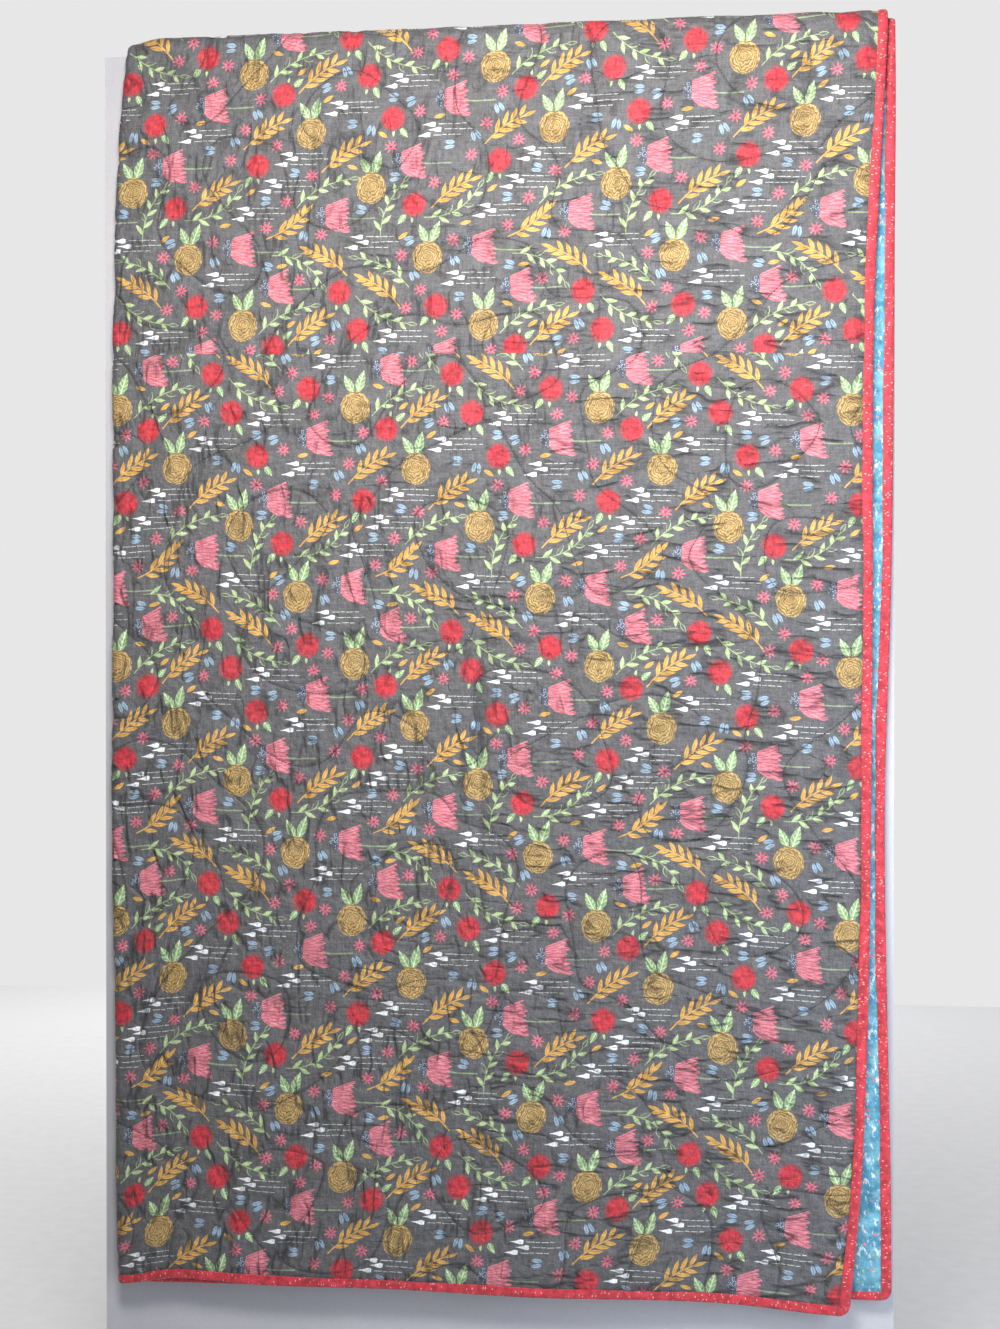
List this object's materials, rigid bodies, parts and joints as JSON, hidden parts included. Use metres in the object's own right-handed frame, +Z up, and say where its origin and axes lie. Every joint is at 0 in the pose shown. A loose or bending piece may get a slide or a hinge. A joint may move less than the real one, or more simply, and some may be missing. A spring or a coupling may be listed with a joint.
{
  "type": "patchwork quilt over a display board",
  "caption": "A quilted cotton throw with a floral face and a red bound edge, folded in half lengthwise and draped over the top of an upright board on plain feet.",
  "frame": {"origin": "on the floor under the middle of the board, at the bottom centre of the bounding box", "axes": "+Z up; the quilt's front faces -Y; +X is to the right when looking at the front"},
  "size_m": [0.8, 0.38, 1.4662],
  "materials": {
    "board_paint": "matt pale grey paint over a plain board, with a fine mottle",
    "floral_cotton": "charcoal quilting cotton with a dense floral print, crinkled between stitched lines",
    "turquoise_cotton": "turquoise quilting cotton with a light splashed floral print",
    "red_binding": "red cotton binding with tiny pale specks, stitched and slightly puckered"
  },
  "bodies": {
    "root": {"board": "board_paint", "foot_left": "board_paint", "foot_right": "board_paint", "backing_lower": "floral_cotton", "backing_upper": "floral_cotton", "patchwork_top": "turquoise_cotton", "binding": "red_binding"}
  },
  "joints": []
}
